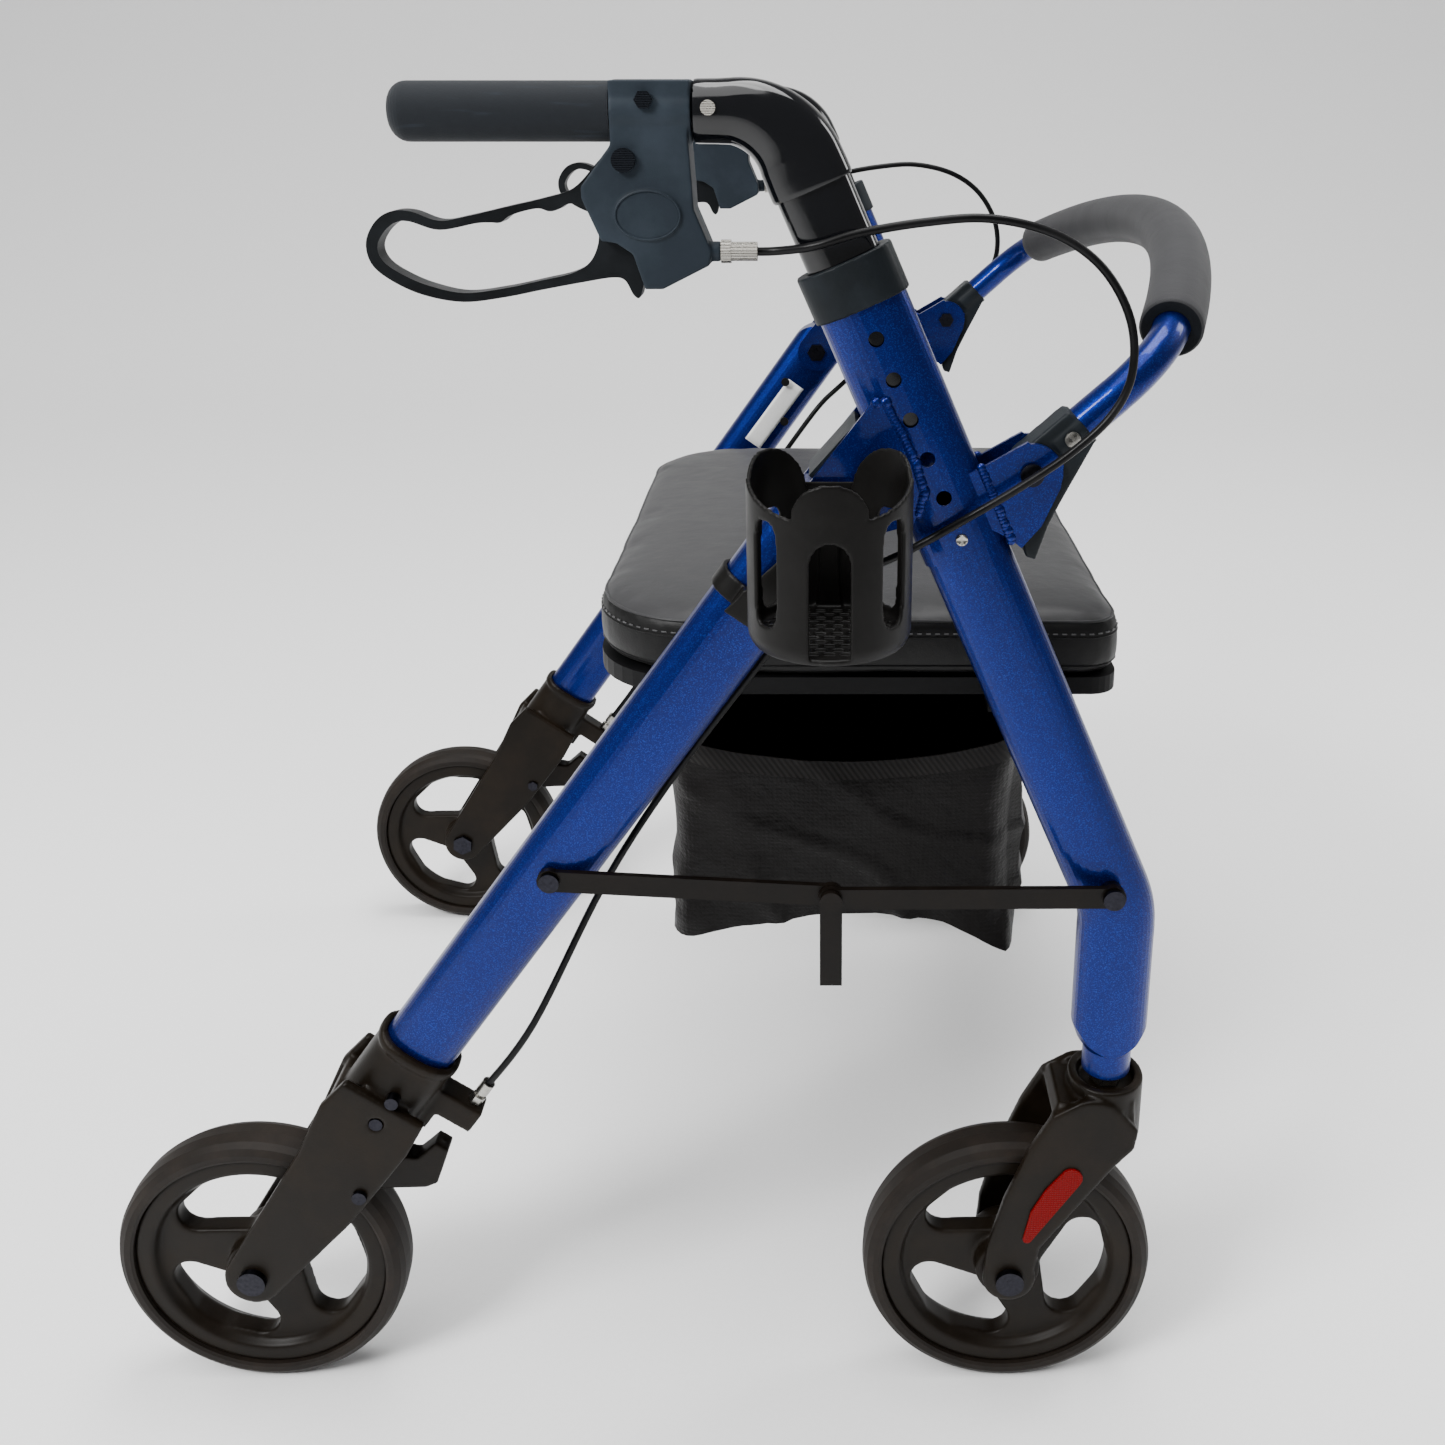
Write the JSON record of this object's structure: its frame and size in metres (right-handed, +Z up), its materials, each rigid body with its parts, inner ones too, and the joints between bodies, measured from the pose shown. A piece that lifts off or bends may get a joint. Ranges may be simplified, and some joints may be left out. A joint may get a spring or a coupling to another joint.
{
  "type": "rollator walker",
  "caption": "Four-wheeled folding walker with a padded seat, a bowed backrest, height-adjustable handles, loop brakes, a nylon bag and a cup holder.",
  "frame": {"origin": "on the floor, under the middle of the overall box", "axes": "+X forward, the way it is pushed; +Z up; the cup holder is on the -Y side"},
  "size_m": [0.7587, 0.7336, 0.8854],
  "materials": {
    "blue_paint": "metallic gloss",
    "elbow_black": "high gloss",
    "collar_plastic": "semi gloss",
    "housing_plastic": "fine grain",
    "lever_plastic": "satin",
    "grip_rubber": "matte",
    "fork_plastic": "semi gloss",
    "rim_plastic": "semi gloss",
    "tyre": "matte",
    "dark_bolt": "black zinc",
    "zinc": "bright zinc",
    "reflector_red": "prismatic gloss",
    "seat_vinyl": "fine grain",
    "pan_plastic": "satin",
    "foam": "closed-cell foam",
    "nylon": "plain weave",
    "cable_sheath": "semi gloss",
    "cup_plastic": "satin",
    "brace_paint": "satin"
  },
  "bodies": {
    "front_frame": {"front_leg_near": "blue_paint", "front_leg_far": "blue_paint", "front_sleeve_near": "blue_paint", "front_sleeve_far": "blue_paint", "front_cross_tube": "blue_paint", "sleeve_collars": "collar_plastic", "front_frame_bolts": "dark_bolt", "gusset_pads": "pan_plastic", "caster_stems": "zinc", "storage_bag": "nylon", "height_knobs": "collar_plastic", "brake_cable_near": "cable_sheath", "brake_cable_far": "cable_sheath"},
    "rear_frame": {"rear_leg_near": "blue_paint", "rear_leg_far": "blue_paint", "rear_cross_tube": "blue_paint", "rear_fork_near": "fork_plastic", "rear_fork_far": "fork_plastic", "rear_frame_bolts": "dark_bolt", "cup_holder": "cup_plastic", "cup_clamp": "cup_plastic", "cable_clips": "cable_sheath", "cable_adjusters": "zinc"},
    "seat": {"seat_cushion": "seat_vinyl", "seat_pan": "pan_plastic", "seat_hinges": "pan_plastic"},
    "backrest": {"backrest_bar": "blue_paint", "backrest_foam": "foam", "backrest_blocks": "collar_plastic", "backrest_screws": "zinc"},
    "rear_wheel_near": {"rear_tyre_near": "tyre", "rear_rim_near": "rim_plastic"},
    "caster_near": {"caster_fork_near": "fork_plastic", "caster_axle_near": "dark_bolt", "reflector_near": "reflector_red"},
    "front_wheel_near": {"front_tyre_near": "tyre", "front_rim_near": "rim_plastic"},
    "handle_near": {"handle_tube_near": "elbow_black", "grip_near": "grip_rubber", "brake_housing_near": "housing_plastic", "handle_hardware_near": "zinc"},
    "lever_near": {"brake_lever_near": "lever_plastic"},
    "brake_arm_near": {"brake_shoe_near": "fork_plastic"},
    "link_rear_near": {"brace_link_rear_near": "brace_paint"},
    "link_front_near": {"brace_link_front_near": "brace_paint"},
    "rear_wheel_far": {"rear_tyre_far": "tyre", "rear_rim_far": "rim_plastic"},
    "caster_far": {"caster_fork_far": "fork_plastic", "caster_axle_far": "dark_bolt", "reflector_far": "reflector_red"},
    "front_wheel_far": {"front_tyre_far": "tyre", "front_rim_far": "rim_plastic"},
    "handle_far": {"handle_tube_far": "elbow_black", "grip_far": "grip_rubber", "brake_housing_far": "housing_plastic", "handle_hardware_far": "zinc"},
    "lever_far": {"brake_lever_far": "lever_plastic"},
    "brake_arm_far": {"brake_shoe_far": "fork_plastic"},
    "link_rear_far": {"brace_link_rear_far": "brace_paint"},
    "link_front_far": {"brace_link_front_far": "brace_paint"}
  },
  "joints": [
    {"name": "fold", "type": "hinge", "parent": "front_frame", "child": "rear_frame", "pos_m": [0.104, 0.04225, 0.636], "axis": [0, -1, 0], "range_deg": [0, 30], "deforming": ["brake_cable_near", "brake_cable_far", "storage_bag"]},
    {"name": "seat_flip", "type": "hinge", "parent": "front_frame", "child": "seat", "pos_m": [0.24, 0.04225, 0.483], "axis": [0, 1, 0], "range_deg": [0, 78]},
    {"name": "backrest_fold", "type": "hinge", "parent": "front_frame", "child": "backrest", "pos_m": [0.23039, 0.04225, 0.66723], "axis": [0, -1, 0], "range_deg": [0, 65]},
    {"name": "rear_wheel_near_spin", "type": "hinge", "parent": "rear_frame", "child": "rear_wheel_near", "pos_m": [-0.28, -0.25075, 0.1], "axis": [0, 1, 0], "continuous": true},
    {"name": "caster_near_swivel", "type": "hinge", "parent": "front_frame", "child": "caster_near", "pos_m": [0.3, -0.25075, 0.225], "axis": [0, 0, 1], "continuous": true},
    {"name": "front_wheel_near_spin", "type": "hinge", "parent": "caster_near", "child": "front_wheel_near", "pos_m": [0.238, -0.25075, 0.1], "axis": [0, 1, 0], "continuous": true},
    {"name": "handle_near_height", "type": "slide", "parent": "front_frame", "child": "handle_near", "axis": [-0.3987, 0, 0.9171], "range_m": [-0.025, 0.075], "deforming": ["brake_cable_near"]},
    {"name": "lever_near_squeeze", "type": "hinge", "parent": "handle_near", "child": "lever_near", "pos_m": [0.00338, -0.25075, 0.842], "axis": [0, 1, 0], "range_deg": [-10, 12], "stiffness_Nm_per_rad": 4},
    {"name": "brake_arm_near_turn", "type": "hinge", "parent": "rear_frame", "child": "brake_arm_near", "pos_m": [-0.19992, -0.25075, 0.17057], "axis": [0, -1, 0], "range_deg": [-4, 4.5]},
    {"name": "link_rear_near_turn", "type": "hinge", "parent": "rear_frame", "child": "link_rear_near", "pos_m": [-0.06044, -0.25075, 0.40647], "axis": [0, -1, 0], "range_deg": [0, 36.39]},
    {"name": "link_front_near_turn", "type": "hinge", "parent": "front_frame", "child": "link_front_near", "pos_m": [0.29163, -0.25075, 0.39726], "axis": [0, -1, 0], "range_deg": [-41.18, 0]},
    {"name": "rear_wheel_far_spin", "type": "hinge", "parent": "rear_frame", "child": "rear_wheel_far", "pos_m": [-0.28, 0.33525, 0.1], "axis": [0, 1, 0], "continuous": true},
    {"name": "caster_far_swivel", "type": "hinge", "parent": "front_frame", "child": "caster_far", "pos_m": [0.3, 0.33525, 0.225], "axis": [0, 0, 1], "continuous": true},
    {"name": "front_wheel_far_spin", "type": "hinge", "parent": "caster_far", "child": "front_wheel_far", "pos_m": [0.238, 0.33525, 0.1], "axis": [0, 1, 0], "continuous": true},
    {"name": "handle_far_height", "type": "slide", "parent": "front_frame", "child": "handle_far", "axis": [-0.3987, 0, 0.9171], "range_m": [-0.025, 0.075], "deforming": ["brake_cable_far"]},
    {"name": "lever_far_squeeze", "type": "hinge", "parent": "handle_far", "child": "lever_far", "pos_m": [0.00338, 0.33525, 0.842], "axis": [0, 1, 0], "range_deg": [-10, 12], "stiffness_Nm_per_rad": 4},
    {"name": "brake_arm_far_turn", "type": "hinge", "parent": "rear_frame", "child": "brake_arm_far", "pos_m": [-0.19992, 0.33525, 0.17057], "axis": [0, -1, 0], "range_deg": [-4, 4.5]},
    {"name": "link_rear_far_turn", "type": "hinge", "parent": "rear_frame", "child": "link_rear_far", "pos_m": [-0.06044, 0.33525, 0.40647], "axis": [0, -1, 0], "range_deg": [0, 36.39]},
    {"name": "link_front_far_turn", "type": "hinge", "parent": "front_frame", "child": "link_front_far", "pos_m": [0.29163, 0.33525, 0.39726], "axis": [0, -1, 0], "range_deg": [-41.18, 0]}
  ],
  "couplings": [
    {"joint": "brake_arm_near_turn", "follows": "lever_near_squeeze", "ratio": 0.3333},
    {"joint": "link_rear_near_turn", "follows": "fold", "ratio": 1.1963},
    {"joint": "link_front_near_turn", "follows": "fold", "ratio": -1.3559},
    {"joint": "brake_arm_far_turn", "follows": "lever_far_squeeze", "ratio": 0.3333},
    {"joint": "link_rear_far_turn", "follows": "fold", "ratio": 1.1963},
    {"joint": "link_front_far_turn", "follows": "fold", "ratio": -1.3559}
  ]
}
